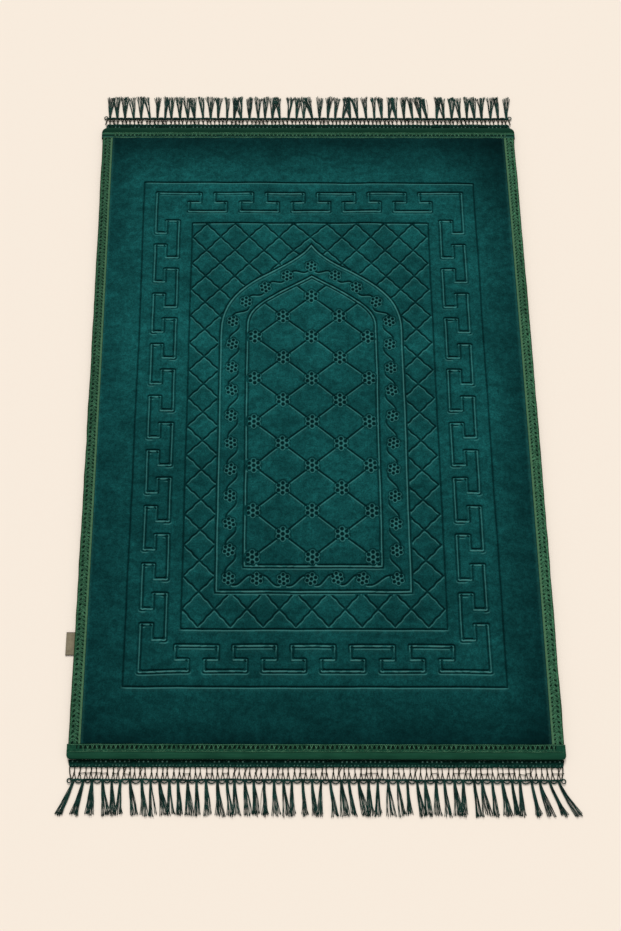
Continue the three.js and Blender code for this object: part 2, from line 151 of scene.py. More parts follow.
def bell(distance, width):
    return np.exp(-((distance / width) ** 2))


def crest(value, pitch):
    """A wave that is 1 at every whole pitch and 0 half way between."""
    return 0.5 + 0.5 * cos(TURN * value / pitch)


def wave_noise(x, y, scale, seed, octaves=3):
    """Smooth noise of about -1 to 1 from a few crossed waves, the same on every run."""
    rng = np.random.default_rng(seed)
    total = np.zeros(np.broadcast(x, y).shape)
    weight = 0.0
    for octave in range(octaves):
        gain = 0.55**octave
        for _ in range(5):
            angle, phase = rng.uniform(0, TURN, 2)
            k = TURN / scale * 1.9**octave * rng.uniform(0.7, 1.3)
            total = total + gain * np.sin(k * (x * cos(angle) + y * sin(angle)) + phase)
            weight += gain * gain / 2
    return total / sqrt(weight) / 1.6


def wave_at(value, seed, scale, octaves=2):
    return float(wave_noise(np.array([value]), np.array([seed]), scale, 12, octaves)[0])


# ------------------------ meshes
def to_metres(points):
    """Metres in the part's frame; the rug lies a little bowed to the right."""
    points = np.array(points, float)
    points[:, 0] += BOW * np.clip(1 - (points[:, 1] / HALF_LENGTH) ** 2, 0, 1)
    return points * MM + np.array([MID_X, MID_Y, 0.0])


def linked(name, data):
    made = bpy.data.objects.new(name, data)
    bpy.context.scene.collection.objects.link(made)
    return made


def meshed(name, points, faces, material):
    """A smooth piece from points in millimetres."""
    mesh = bpy.data.meshes.new(name)
    mesh.from_pydata(to_metres(points).tolist(), [], faces)
    mesh.polygons.foreach_set("use_smooth", [True] * len(mesh.polygons))
    mesh.materials.append(material)
    return linked(name, mesh)


class Batch:
    """Vertices and faces of many small things that become one mesh."""

    def __init__(self):
        self.points = []
        self.faces = []
        self.count = 0

    def skin(self, rings):
        """A closed skin over rings of equal size, with its two ends filled."""
        rings = np.asarray(rings, float)
        count, size = rings.shape[:2]
        first, last = self.count, self.count + count * size
        for start in range(first, last - size, size):
            for k in range(size):
                a, b = start + k, start + (k + 1) % size
                self.faces.append((a, a + size, b + size, b))
        self.faces.append(tuple(range(first, first + size)))
        self.faces.append(tuple(reversed(range(last - size, last))))
        self.points.append(rings.reshape(-1, 3))
        self.count = last

    def tube(self, x, y, z, radius, sides=5, flat=1.0):
        """A closed tube along a path that lies more or less level."""
        path = np.stack(np.broadcast_arrays(x, y, z), axis=1).astype(float)
        along = unit(np.gradient(path, axis=0))
        side = unit(np.cross(along, [0.0, 0.0, 1.0]))
        up = np.cross(side, along) * flat
        radius = np.broadcast_to(radius, len(path))[:, None]
        angles = TURN * (np.arange(sides) + 0.5) / sides
        rings = [path + (side * across + up * rise) * radius for across, rise in circle(angles)]
        self.skin(np.stack(rings, axis=1))

    def make(self, name, material):
        made = meshed(name, np.concatenate(self.points), self.faces, material)
        made.data.validate()
        return made


def swept(name, rings, material, turned=False):
    """One piece through rings of points, which are turned over where they face inward."""
    batch = Batch()
    batch.skin([ring[::-1] if turned else ring for ring in rings])
    return batch.make(name, material)


# ------------------------ the pressed pattern
def rounded(points, radius):
    """The closed line with its sharp corners turned on a small radius."""
    points = np.array(points, float)
    out = []
    for p, before, after in zip(points, np.roll(points, 1, axis=0), np.roll(points, -1, axis=0)):
        before, after = before - p, after - p
        a, b = np.linalg.norm(before), np.linalg.norm(after)
        if np.dot(before, after) / (a * b) < -0.9:
            out.append(p)
            continue
        r = min(radius, a / 2.2, b / 2.2)
        start, end = p + before * (r / a), p + after * (r / b)
        out += [(1 - t) ** 2 * start + 2 * t * (1 - t) * p + t * t * end for t in (0.0, 0.5, 1.0)]
    return out


def subdivided(points, closed, step):
    points = np.array(points, float)
    ends = np.roll(points, -1, axis=0)
    out = []
    for a, b in list(zip(points, ends))[: None if closed else -1]:
        pieces = max(1, ceil(np.linalg.norm(b - a) / step))
        out.extend(a + (b - a) * (k / pieces) for k in range(pieces))
    if not closed:
        out.append(points[-1])
    return np.array(out)


def side_normals(points, closed):
    """Normals to the left of a line, lengthened where it turns."""
    if closed:
        before = points - np.roll(points, 1, axis=0)
        after = np.roll(points, -1, axis=0) - points
    else:
        step = np.diff(points, axis=0)
        before = np.vstack([step[:1], step])
        after = np.vstack([step, step[-1:]])
    before, after = unit(before), unit(after)
    normal = unit(left_of(before + after))
    turn = (normal * left_of(before)).sum(1)
    return normal / np.maximum(turn, 0.6)[:, None]


def hand_pressed(points):
    """The whole pattern is pressed a little askew and unevenly."""
    x, y = points[:, 0], points[:, 1]
    askew = 0.008 * (1 - np.abs(x) / 360) * y - BOW * (1 - (y / HALF_LENGTH) ** 2)
    shift = [askew + 0.4 * wave_noise(x, y, 150, 3), 0.4 * wave_noise(x, y, 150, 4)]
    return points + np.stack(shift, axis=1)


def key_border():
    """The middle of the key border's one long double line."""
    near, far, left, right = -449.6, 439.9, -289.2, 289.1
    sides = [
        ((-290.0, -451.0), KEY_SHORT, 41.0, 18.2, lambda s, d: (s, near + d)),
        ((290.0, -450.0), KEY_LONG, 44.0, 22.0, lambda s, d: (right - d, KEY_MID + s)),
        ((289.5, 440.5), KEY_SHORT, 38.7, 19.5, lambda s, d: (-s, far - d)),
        ((-289.5, 440.5), KEY_LONG, 42.5, 19.5, lambda s, d: (left + d, KEY_MID - s)),
    ]
    path = []
    for corner, size, deep, back, at in sides:
        half, long = size["half"], size["long"]
        steps = [(-half, 0), (-half, back), (-long, back), (-long, deep)]
        steps += [(-along, depth) for along, depth in reversed(steps)]
        path.append(corner)
        for k in range(size["gaps"]):
            middle = (k - (size["gaps"] - 1) / 2) * size["pitch"]
            path += [at(middle + along, depth) for along, depth in steps]
    return path


def key_parts(points, aside):
    """How far inside the key's outermost runs each point is, whether it is on a run along
    the border, and whether its line is level."""
    x, y = points[:, 0], points[:, 1]
    inward = np.minimum(289.2 - np.abs(x), np.minimum(y + 449.6, 440 - y))
    return inward, (inward < 5.0) | (inward > 34.0), np.abs(aside[:, 1]) > 0.7


def key_weight(points, aside):
    """How deep each of the key's two lines is, and so how strong its painted shade and highlight:
    deepest on the long runs, and at the far side of a run; its short steps are single lines."""
    inward, run, level = key_parts(points, aside)
    second = np.where(points[:, 1] > 200, 0.3, 0.8)
    flat = np.where(aside[:, 1] > 0, 1.0, np.where(run, second, 0.08))
    middle = aside[:, 0] * points[:, 0] < 0
    upright = np.where(inward < 5, np.where(middle, 1.0, 0.5), np.where(middle, 0.75, 1.0))
    upright = np.where(run, upright, np.where(aside[:, 0] < 0, 0.15, 0.9))
    return np.where(level, flat, upright)


def key_ridge_highlight(points, aside):
    """How strong the painted highlight is on the ridge between the key's two lines: fainter on
    uprights, lost on its short steps.
    """
    _, run, level = key_parts(points, aside)
    return np.where(level, 1.0, np.where(run, 0.75, 0.2))


def arch_line(arch):
    """A pointed arch on straight sides, drawn from its right foot round to its left one."""
    right = [np.array((arch["half"], arch[height])) for height in ("bottom", "spring")]
    for curve in arch["curves"]:
        start, (a, b, end) = right[-1], np.array(curve)
        for t in np.linspace(0, 1, 11)[1:]:
            u = 1 - t
            right.append(u**3 * start + 3 * u * u * t * a + 3 * u * t * t * b + t**3 * end)
    left = [p * (-1, 1) for p in right[:-1]][::-1]
    return np.array(right + left) + (0.6, 0)


def arch_weight(inner_line):
    """Weights for an arch's two lines, the inner one fainter but for the bottom."""
    def weight(points, aside):
        at_bottom = (np.abs(aside[:, 1]) > 0.7) & (points[:, 1] < 0)
        inward = (aside * (points - (0, -20))).sum(1) < 0
        return np.where(inward, np.where(at_bottom, 0.9, inner_line), np.where(at_bottom, 0.8, 1.0))
    return weight


def inside(polygon, points):
    """For each point whether it is inside the polygon."""
    x, y = points[:, 0], points[:, 1]
    result = np.zeros(len(points), bool)
    for (x0, y0), (x1, y1) in zip(polygon, np.roll(polygon, -1, axis=0)):
        crosses = (y0 > y) != (y1 > y)
        result ^= crosses & (x < (x1 - x0) * (y - y0) / (y1 - y0 + 1e-12) + x0)
    return result


def kept_runs(points, keep, least=6.0):
    """The stretches of a line where keep is true."""
    cuts = np.flatnonzero(np.diff(keep.astype(int))) + 1
    runs = [run for run, kept in zip(np.split(points, cuts), np.split(keep, cuts)) if kept[0]]
    return [run for run in runs if len(run) > 1 and np.linalg.norm(run[-1] - run[0]) > least]


def lattice_point(across, along):
    """Where the lattice's half-steps lie: its first and last rows are wider, and it opens
    a little over the arch."""
    y = np.interp(along, [0, 2, LATTICE_LONG - 2, LATTICE_LONG], LATTICE_ROWS)
    k = across - LATTICE_WIDE / 2
    widened = np.sign(k) * np.interp(np.abs(k), [0, 1, 4, 8], [0, 4.0, 4.0, 0])
    x = LATTICE_STEP * k - 1.0 + widened * np.interp(y, [0, 265], [0, 1])
    return np.stack([x, y], axis=1)


def lattice_lines(outer):
    """Slightly wavy diagonals outside the arch."""
    lines = []
    for start in range(-LATTICE_LONG + 1, LATTICE_WIDE, 2):
        first, last = max(0, -start), min(LATTICE_LONG, LATTICE_WIDE - start)
        for rising in (True, False):
            s = np.linspace(first, last, int((last - first) * 9) + 1)
            points = lattice_point(start + s, s if rising else LATTICE_LONG - s)
            waver = 0.85 * np.sin(TURN * s * 2 + start) * np.sin(pi * s) ** 2
            points = points + np.array([-0.64 if rising else 0.64, 0.77]) * waver[:, None]
            lines += kept_runs(points, ~inside(outer, points))
    return lines


def flower_spots():
    """The field's flowers: rows of two, with rows of three between them, and one at the top."""
    spots = []
    for row in range(FIELD["rows"]):
        y = FIELD["top"] - row * FIELD["half_y"]
        columns = (0,) if row == 0 else ((-1, 1) if row % 2 else (-2, 0, 2))
        spots += [(c * FIELD["half_x"], y) for c in columns]
    return spots


def field_lines(inner):
    """Stems from each flower of the field to its neighbours, or to the arch."""
    lines = []
    spots = flower_spots()
    known = {(round(x), round(y)) for x, y in spots}
    for x, y in spots:
        for side, up in ((-1, -1), (-1, 1), (1, -1), (1, 1)):
            x1, y1 = x + side * FIELD["half_x"], y + up * FIELD["half_y"]
            joined = (round(x1), round(y1)) in known
            if joined == (up > 0):
                continue
            t = np.linspace(0.19, 0.81 if joined else 1.0, 26)[:, None]
            points = np.array([x, y]) + t * np.array([x1 - x, y1 - y])
            lines += kept_runs(points, inside(inner, points), 4.0)
    return lines


def vine_line(a, b, swing, side, clear, aside):
    """A stem that leaves one flower on one side and meets the next on the other."""
    a, b = np.array(a, float), np.array(b, float)
    length = np.linalg.norm(b - a)
    ahead = (b - a) / length
    across = np.array([-ahead[1], ahead[0]])
    t = np.linspace(0, 1, 17)
    s = clear + (length - 2 * clear) * t
    off = side * swing * np.cos(pi * np.clip((t - 0.1) / 0.8, 0, 1)) + aside
    return a + ahead * s[:, None] + across * off[:, None]


def vine_lines():
    """The stems between the band's flowers, and the flowers."""
    lines = []
    right = [(BAND_X, y) for y in BAND_SIDE_Y] + BAND_ARCH
    left = [(-x, y) for x, y in right]
    for chain, side in ((right, -1), (left, 1)):
        for i, (a, b) in enumerate(zip(chain, chain[1:])):
            swing, clear = (8.6, 8.0) if i < len(BAND_SIDE_Y) else (5.5, 11.0)
            lines.append(vine_line(a, b, swing, side, clear, -0.3 * swing * side))
    for a, b, side in zip(BAND_ROW, BAND_ROW[1:], BAND_ROW_SIDES):
        lines.append(vine_line(a, b, 8.6, side, 7.0, -2.6))
    return lines, sorted(set(right + left + BAND_ROW[1:-1]))


def petal_centres(spots, petal, turns):
    """Each flower's middle, then its six petals' middles."""
    centres = []
    for (x, y), turn in zip(spots, turns):
        centres.append((x, y))
        for k in range(6):
            angle = radians(30 + 60 * k + turn)
            centres.append((x + petal * cos(angle), y + petal * sin(angle)))
    return np.array(centres)


def rectangle(x0, y0, x1, y1):
    return [(x0, y0), (x1, y0), (x1, y1), (x0, y1)]


def pressed_lines():
    """Single lines as (points, closed), double ones as (points, weight), and the flowers."""
    outer, inner = arch_line(OUTER_ARCH), arch_line(INNER_ARCH)
    doubles = [
        (rounded(key_border(), 0.7), key_weight),
        (outer, arch_weight(0.3)),
        (inner, arch_weight(0.85)),
    ]
    grown = outer - side_normals(outer, True) * (DOUBLE + 0.8)
    shrunk = inner + side_normals(inner, True) * (DOUBLE + 0.8)
    vines, band = vine_lines()
    singles = [(OUTER_FRAME, True), (rectangle(*INNER_FRAME), True)]
    singles += [(line, False) for line in lattice_lines(grown) + field_lines(shrunk) + vines]
    return singles, doubles, flower_spots(), band


class Cloud:
    """Points, and a quick search for the one nearest to a place."""

    def __init__(self, points):
        self.points = points
        self.tree = kdtree.KDTree(len(points))
        for i, (x, y) in enumerate(points):
            self.tree.insert((x, y, 0.0), i)
        self.tree.balance()

    def nearest(self, places):
        return np.array([self.tree.find((x, y, 0.0))[1] for x, y in places], int)

    def away(self, places):
        """How each place lies from the point nearest to it."""
        return places - self.points[self.nearest(places)]


class Relief:
    """The velvet's height, normal and shade anywhere on the mat. The shade is painted light
    and shade for light from the far end: a pressed line gets painted shade on its far wall and a
    painted highlight on its near one."""

    # Height of a flower against the distance from its nearest petal's middle: a pit with a
    # flat bottom, the ring round it, and the line pressed round the whole flower.
    PETAL = np.array([(0, -1.1), (1.8, -1.3), (2.9, -1.0), (4.2, 0.4), (5.8, -0.6), (7.0, 0)])

    def __init__(self):
        singles, doubles, field, band = pressed_lines()
        self.lines, self.ridges = [], []
        samples = []
        for points, closed in singles:
            line = hand_pressed(subdivided(points, closed, LINE_STEP))
            self.lines.append((line, closed, 0))
            samples.append(self.sampled(line, closed, lambda p, n: np.ones(len(p)), 1.0))
        for points, weight in doubles:
            middle = hand_pressed(subdivided(points, True, LINE_STEP))
            self.ridges.append(middle)
            for side in (1, -1):
                line = middle + side_normals(middle, True) * (side * DOUBLE)
                self.lines.append((line, True, side))
                samples.append(self.sampled(line, True, weight, side))
        fine, self.ahead, self.behind, self.weight = map(np.concatenate, zip(*samples))
        self.samples = Cloud(fine)
        key, *arches = [subdivided(line, True, 0.8) for line in self.ridges]
        self.ridge = Cloud(np.concatenate([key, *arches]))
        self.ridge_highlight = np.ones(len(self.ridge.points))
        self.ridge_highlight[: len(key)] = key_ridge_highlight(key, side_normals(key, True))
        self.flowers = []
        for spots, flower in ((field, FIELD_FLOWER), (band, BAND_FLOWER)):
            moved = hand_pressed(np.array(spots, float))
            turns = jitter(1, len(moved)) * flower["turn"]
            centres = petal_centres(moved, flower["petal"], turns)
            self.flowers.append((Cloud(centres), flower["size"]))

    @staticmethod
    def sampled(line, closed, weight, side):
        """Close points along a line with their neighbours and weights."""
        fine = subdivided(line, closed, 0.5)
        ahead, behind = np.roll(fine, -1, axis=0), np.roll(fine, 1, axis=0)
        if not closed:
            ahead[-1], behind[0] = fine[-1], fine[0]
        return fine, ahead, behind, weight(fine, side_normals(fine, closed) * side)

    def nearest_line(self, points):
        """Distance, unit vector away, level share and weight of the nearest pressed line."""
        index = self.samples.nearest(points)
        start = self.samples.points[index]
        best = np.full(len(points), 1e9)
        away = np.zeros_like(points)
        for other in (self.ahead[index], self.behind[index]):
            span = other - start
            square = np.maximum((span**2).sum(1), 1e-12)
            t = np.clip(((points - start) * span).sum(1) / square, 0, 1)
            gap = points - (start + span * t[:, None])
            distance = lengths(gap)
            away = np.where((distance < best)[:, None], gap, away)
            best = np.minimum(best, distance)
        level = np.abs(unit(self.ahead[index] - self.behind[index])[:, 0])
        return best, unit(away), level, self.weight[index]

    def from_line(self, points):
        return self.nearest_line(points)[0]

    def from_flower(self, points):
        """The distance to the nearest petal's middle, as if all flowers had the field's size."""
        return np.minimum(*[lengths(centres.away(points)) / size for centres, size in self.flowers])

    def flower_relief(self, points, centres, size):
        """A flower's height, slope and painted shade and highlight, and where they hold."""
        away = centres.away(points)
        distance = lengths(away)
        radii, heights = self.PETAL[:, 0] * size, self.PETAL[:, 1]
        soft = 0.35
        low, height, high = (
            np.interp(np.maximum(distance + step, 0), radii, heights, right=0.0)
            for step in (-soft, 0, soft)
        )
        slope = (high - low) / (2 * soft)
        slope[distance < 0.2] = 0.0
        # Painted shade in each pit, a painted highlight on its ring, painted shade beyond on the far
        # side.
        pit = lengths(away - (0, 0.35))
        shade = 1 - 0.88 * np.exp(-((pit / (3.35 * size)) ** 6))
        shade = shade * (1 + 0.9 * bell(distance - 4.15 * size, 0.65))
        beyond = np.clip((unit(away)[:, 1] + 0.4) / 0.9, 0, 1)
        shade = shade * (1 - (0.25 + 0.55 * beyond) * bell(distance - 6.0 * size, 0.9))
        return height, slope[:, None] * unit(away), shade, distance < radii[-1]

    def bulk(self, x, y):
        """The padding without the pattern: rolled down to the tapes, and never quite flat."""
        inward_x, inward_y = CORE_X - np.abs(x), CORE_Y - np.abs(y)
        roll = 1.0
        for inward in (inward_x, inward_y):
            t = np.clip(inward / ROLL, 0, 1)
            roll = roll * np.sqrt(1 - (1 - t) ** 2 * 0.98)
        uneven = 0.55 * wave_noise(x, y, 260, 5, 2) + 0.2 * wave_noise(x, y, 70, 6, 2)
        sagging = 0.5 * bell(np.abs(y) - 530, 26) * wave_noise(x, y * 0.2, 120, 8, 2)
        height = TAPE_TOP - 0.2 + (PAD_TOP + 0.6 - TAPE_TOP + uneven + sagging) * roll
        under_tape = (inward_x < -0.01) | (inward_y < -0.01)
        return np.where(under_tape, 5.6, height)

    def bulk_slope(self, x, y):
        along_x = self.bulk(x + 1, y) - self.bulk(x - 1, y)
        along_y = self.bulk(x, y + 1) - self.bulk(x, y - 1)
        return np.clip(np.stack([along_x, along_y], axis=1) / 2, -0.7, 0.7)

    def evaluate(self, points):
        """Height, normal and painted shade and highlight at each point."""
        x, y = points[:, 0], points[:, 1]
        distance, away, level, weight = self.nearest_line(points)
        deep = GROOVE_DEPTH * (0.35 + 0.65 * weight)
        t = np.clip(distance / GROOVE_HALF, 0, 1)
        depth = -deep * 0.5 * (1 + np.cos(pi * t))
        tilt = away * (deep * 0.5 * pi / GROOVE_HALF * np.sin(pi * t))[:, None]
        # Painted shade on a line's far wall and a painted highlight on its near one, as light falls
        # from the far end.
        beyond = np.where(away[:, 1] > 0, distance, -distance)
        far_wall_shade = bell(beyond - 0.7 * level, 1.6)
        near_wall_highlight = level * bell(beyond + 2.1, 0.75)
        shade = (1 - weight * (0.70 + 0.25 * level) * far_wall_shade) * (1 + 1.4 * weight * near_wall_highlight)
        # A painted highlight along the ridges between double lines, which also stand a little higher.
        ridge = self.ridge.nearest(points)
        to_ridge = lengths(points - self.ridge.points[ridge])
        shade = shade * (1 + 1.25 * self.ridge_highlight[ridge] * bell(to_ridge, 1.05))
        depth = depth + 0.4 * bell(to_ridge, 1.3)
        for flower in self.flowers:
            lower, lean, painted_flower_shade, reach = self.flower_relief(points, *flower)
            use = reach & ((lower < depth) | (distance > GROOVE_HALF))
            depth = np.where(use, lower, depth)
            tilt = np.where(use[:, None], lean, tilt)
            shade = np.where(reach, painted_flower_shade * np.where(distance < 1.2, shade, 1.0), shade)
        slope = self.bulk_slope(x, y) + tilt
        normal = unit(np.column_stack([-slope, np.ones(len(points))]))
        return self.bulk(x, y) + depth, normal, shade


# ------------------------ the velvet's mesh
class Web:
    """Points and the edges between them that the triangles must keep."""

    def __init__(self):
        self.points = []
        self.edges = []

    def chain(self, line, closed, keep=None):
        keep = np.ones(len(line), bool) if keep is None else keep
        ids = np.full(len(line), -1)
        ids[keep] = len(self.points) + np.arange(keep.sum())
        self.points.extend(line[keep])
        pairs = list(zip(ids.tolist(), np.roll(ids, -1).tolist()))[: None if closed else -1]
        self.edges += [(a, b) for a, b in pairs if a >= 0 and b >= 0]

    def triangles(self):
        flat = [Vector((float(x), float(y))) for x, y in self.points]
        made = geometry.delaunay_2d_cdt(flat, self.edges, [], 0, 0.05)
        return np.array([(v.x, v.y) for v in made[0]]), [tuple(face) for face in made[2]]


def web_lines(web, relief):
    """Points along each pressed line, across its walls and round its ends."""
    def clear(points, gap):
        return (relief.from_line(points) > gap * 0.94) & (relief.from_flower(points) > FLOWER_ROOM)

    for line, closed, side in relief.lines:
        web.chain(line, closed, relief.from_flower(line) > FLOWER_ROOM - 0.7)
        for offset in (1.0, -1.0, 2.1, -2.1, 3.4, -3.4):
            if side * offset >= -1.5:
                beside = line + side_normals(line, closed) * offset
                web.chain(beside, closed, clear(beside, abs(offset)))
        if closed:
            continue
        for end, inner in ((line[0], line[1]), (line[-1], line[-2])):
            angles = atan2(*(end - inner)[::-1]) + np.radians([-45, 0, 45])
            for radius in (1.0, 2.1, 3.4):
                cap = end + radius * circle(angles)
                web.points.extend(cap[clear(cap, radius)])
    for middle in relief.ridges:
        web.chain(middle, True, relief.from_line(middle) > 1.8)


def web_flowers(web, relief):
    """Rings of points round each petal."""
    for centres, size in relief.flowers:
        web.points.extend(centres.points)
        for radius, count in ((1.6, 7), (2.9, 10), (4.15, 13), (5.4, 13), (6.6, 13), (8.3, 12)):
            angles = np.linspace(0, TURN, count, endpoint=False) + 0.13
            ring = circle(angles) * radius * size
            cloud = (centres.points[:, None] + ring).reshape(-1, 2)
            cloud = cloud[lengths(centres.away(cloud)) > radius * size * 0.96]
            if radius > 6:
                cloud = cloud[relief.from_line(cloud) > 1.4]
            web.points.extend(cloud)


def web_filling(web, relief):
    """Wide, slightly jumbled points everywhere else."""
    step = 10.0
    rise = step * 0.87
    margin = 30
    for row in range(int(2 * HALF_LENGTH / rise)):
        x = np.arange(-HALF_WIDTH + (row % 2) * step / 2, HALF_WIDTH, step)
        cloud = np.stack([x, np.full(len(x), -HALF_LENGTH + row * rise)], axis=1)
        cloud = cloud + jitter(1.2, cloud.shape)
        free = np.abs(cloud[:, 0]) < HALF_WIDTH - SIDE_TAPE - margin
        free &= np.abs(cloud[:, 1]) < HALF_LENGTH - END_TAPE - margin
        cloud = cloud[free]
        if len(cloud):
            clear = (relief.from_line(cloud) > 6.0) & (relief.from_flower(cloud) > 10.5)
            web.points.extend(cloud[clear])


def velvet_web(relief):
    """The velvet's top seen from above, as points and triangles."""
    web = Web()
    x, y = HALF_WIDTH - 1.4, HALF_LENGTH - 1.4
    web.chain(subdivided(rounded(rectangle(-x, -y, x, y), 7.0), True, 12.0), True)
    for inset in (-0.05, 0.25, 1.6, 5.0, 11.0, 18.0, 26.0):
        x, y = CORE_X - inset, CORE_Y - inset
        web.chain(subdivided(rectangle(-x, -y, x, y), True, 9.0), True)
    web_lines(web, relief)
    web_flowers(web, relief)
    web_filling(web, relief)
    return web.triangles()


def ring_of_boundary(faces):
    """The indices round the edge of a triangulated patch, in order."""
    edges = dict.fromkeys(edge for face in faces for edge in zip(face, face[1:] + face[:1]))
    following = {a: b for a, b in edges if (b, a) not in edges}
    ring = [next(iter(following))]
    while following[ring[-1]] != ring[0]:
        ring.append(following[ring[-1]])
    return np.array(ring)


def velvet_mesh(material):
    """The velvet over its padding: a fine mesh along each pressed line, wide between them."""
    relief = Relief()
    top, faces = velvet_web(relief)
    height, normal, shade = relief.evaluate(top)
    rim = ring_of_boundary(faces)
    edge = top[rim]
    within = np.clip(edge, (-CORE_X, -CORE_Y), (CORE_X, CORE_Y))
    vertices, normals, rings = [np.column_stack([top, height])], [normal], [rim]
    for ring, z, up in ((edge, HEM_HEIGHT, 1.0), (within, HEM_HEIGHT, -1.0), (within, 0.0, -1.0)):
        rings.append(sum(map(len, vertices)) + np.arange(len(rim)))
        vertices.append(np.column_stack([ring, np.full(len(rim), z)]))
        normals.append(np.tile((0.0, 0.0, up), (len(rim), 1)))
    for a, b in zip(rings, rings[1:]):
        quads = np.stack([a, b, np.roll(b, -1), np.roll(a, -1)], axis=1)
        faces += [tuple(quad) for quad in quads.tolist()]
    faces.append(tuple(reversed(rings[-1].tolist())))
    made = meshed("pad_velvet", np.concatenate(vertices), faces, material)
    # The pressed pattern's painted shade and highlight go to the top's points; the rest get 1.
    values = np.ones(len(made.data.vertices), np.float32)
    values[: len(top)] = shade
    made.data.attributes.new("shade", "FLOAT", "POINT").data.foreach_set("value", values)
    made.data.normals_split_custom_set_from_vertices(np.concatenate(normals).tolist())
    return made


# ------------------------ materials
class Shader:
    """A material with short calls for its nodes."""

    def __init__(self, name):
        self.material = bpy.data.materials.new(name)
        self.material.use_nodes = True
        self.tree = self.material.node_tree
        self.tree.nodes.clear()
        self.bsdf = self.node("BsdfPrincipled")
        self.put(self.node("OutputMaterial").inputs[0], self.bsdf.outputs[0])
        self.place = self.node("TexCoord").outputs["Object"]

    def node(self, kind, **inputs):
        made = self.tree.nodes.new("ShaderNode" + kind)
        for name, value in inputs.items():
            self.put(made.inputs[name.replace("_", " ")], value)
        return made

    def put(self, socket, value):
        if isinstance(value, bpy.types.NodeSocket):
            self.tree.links.new(value, socket)
        else:
            socket.default_value = value

    def from_middle(self):
        """How far right of the mat's middle, and how far along."""
        xyz = self.node("SeparateXYZ", Vector=self.place).outputs
        return self.math("SUBTRACT", xyz["X"], MID_X), self.math("SUBTRACT", xyz["Y"], MID_Y)

    def math(self, operation, *values, clamp=False):
        made = self.node("Math")
        made.operation = operation
        made.use_clamp = clamp
        for socket, value in zip(made.inputs, values):
            self.put(socket, value)
        return made.outputs[0]

    def times(self, *values):
        product = values[0]
        for value in values[1:]:
            product = self.math("MULTIPLY", product, value)
        return product

    def absolute(self, value):
        return self.math("ABSOLUTE", value)

    def scaled(self, value, gain, plus, clamp=False):
        return self.math("MULTIPLY_ADD", value, gain, plus, clamp=clamp)

    def around(self, value, spread, middle=0.5):
        """1 where the value is at its middle, and up to the spread more or less beyond."""
        return self.scaled(value, spread, 1.0 - middle * spread)

    def span(self, value, low, high, to_low=0.0, to_high=1.0):
        made = self.node(
            "MapRange", Value=value, From_Min=low, From_Max=high, To_Min=to_low, To_Max=to_high
        )
        made.interpolation_type = "SMOOTHSTEP"
        return made.outputs[0]

    def noise(self, scale, detail=3.0, rough=0.55, distortion=0.0, stretch=None):
        vector = self.place
        if stretch:
            vector = self.node("Mapping", Vector=self.place, Scale=stretch).outputs[0]
        made = self.node(
            "TexNoise", Vector=vector, Scale=scale, Detail=detail, Roughness=rough,
            Distortion=distortion,
        )
        return made.outputs[0]

    def patches(self, scale, *texture, low=0.3):
        """Noise with its middle values spread out between 0 and 1."""
        return self.span(self.noise(scale, *texture), low, 1.0 - low)

    def paint(self, colour, *coats):
        """Lays each coat, as its strength and its colour, over the last."""
        for strength, coat in coats:
            made = self.node("Mix")
            made.data_type = "RGBA"
            made.clamp_factor = False
            self.put(made.inputs[0], strength)
            for socket, value in ((made.inputs[6], colour), (made.inputs[7], coat)):
                self.put(socket, (*value, 1.0) if isinstance(value, tuple) else value)
            colour = made.outputs[2]
        return colour

    def slots(self, across, along, row, pitch, half, slant, full):
        """1 in slanting slots at a pitch along one row of stitches, 0 elsewhere."""
        off = self.math("SUBTRACT", across, row)
        phase = self.math("FRACT", self.scaled(self.scaled(off, slant, along), 1.0 / pitch, 1000.0))
        gap = self.absolute(self.math("SUBTRACT", phase, 0.5))
        near = self.span(self.absolute(off), half, half * 0.55)
        return self.times(self.span(gap, full + 0.1, full - 0.04), near)

    def bump(self, height, strength, distance, **onto):
        return self.node("Bump", Height=height, Strength=strength, Distance=distance, **onto).outputs[0]

    def finish(self, colour, normal=None, rough=0.8, specular=0.1):
        self.put(self.bsdf.inputs["Base Color"], colour)
        if normal is not None:
            self.put(self.bsdf.inputs["Normal"], normal)
        self.bsdf.inputs["Roughness"].default_value = rough
        self.bsdf.inputs["Specular IOR Level"].default_value = specular
        return self.material


